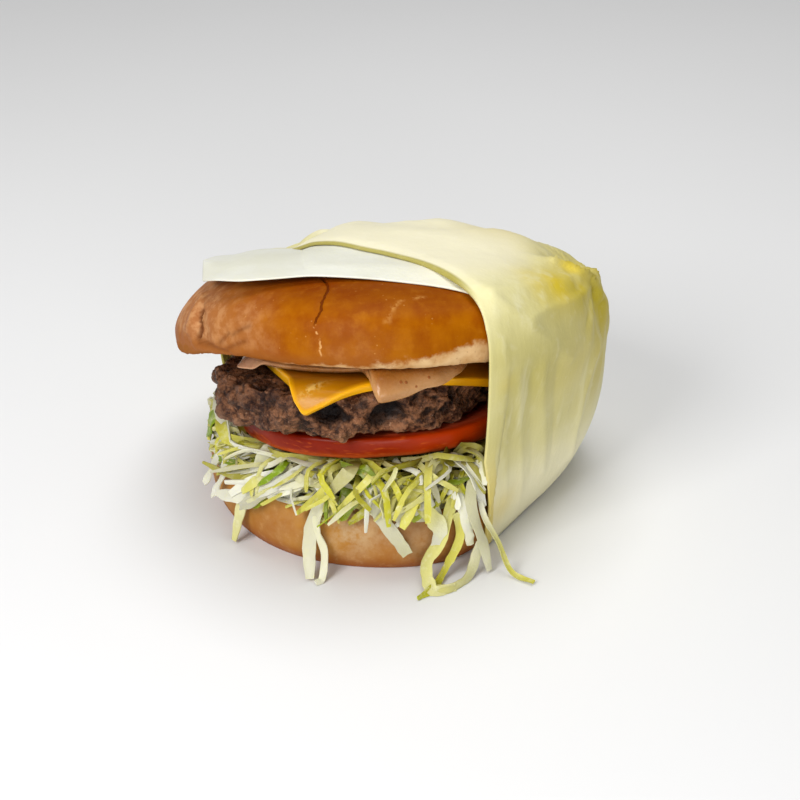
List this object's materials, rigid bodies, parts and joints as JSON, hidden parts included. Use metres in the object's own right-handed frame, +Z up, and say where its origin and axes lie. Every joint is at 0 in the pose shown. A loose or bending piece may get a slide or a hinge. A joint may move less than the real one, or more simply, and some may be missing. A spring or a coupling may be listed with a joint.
{
  "type": "cheeseburger",
  "caption": "Cheeseburger with patty, cheese, sauce, tomato and shredded lettuce in a round bun, held in a folded paper pocket.",
  "frame": {"origin": "on the table, at the middle of the lower bun's flat foot", "axes": "+Z up; -Y is the open front that the picture shows; +X is the front view's right, where the paper closes"},
  "size_m": [0.119, 0.1204, 0.0792],
  "materials": {
    "heel_crust": "baked bread crust, satin",
    "lettuce": "moist shredded lettuce",
    "tomato_flesh": "wet tomato skin and flesh",
    "seared_beef": "seared ground beef, craggy and a little greasy",
    "cheese": "soft processed cheese",
    "sauce": "creamy sauce",
    "crown_crust": "baked golden crust, satin",
    "white_paper": "waxed paper",
    "yellow_paper": "waxed paper"
  },
  "bodies": {
    "root": {"bun_heel": "heel_crust", "lettuce": "lettuce", "tomato_slice": "tomato_flesh", "beef_patty": "seared_beef", "cheese_slice": "cheese", "sauce_layer": "sauce", "bun_crown": "crown_crust", "paper_flap": "white_paper", "paper_pocket": "yellow_paper"}
  },
  "joints": []
}
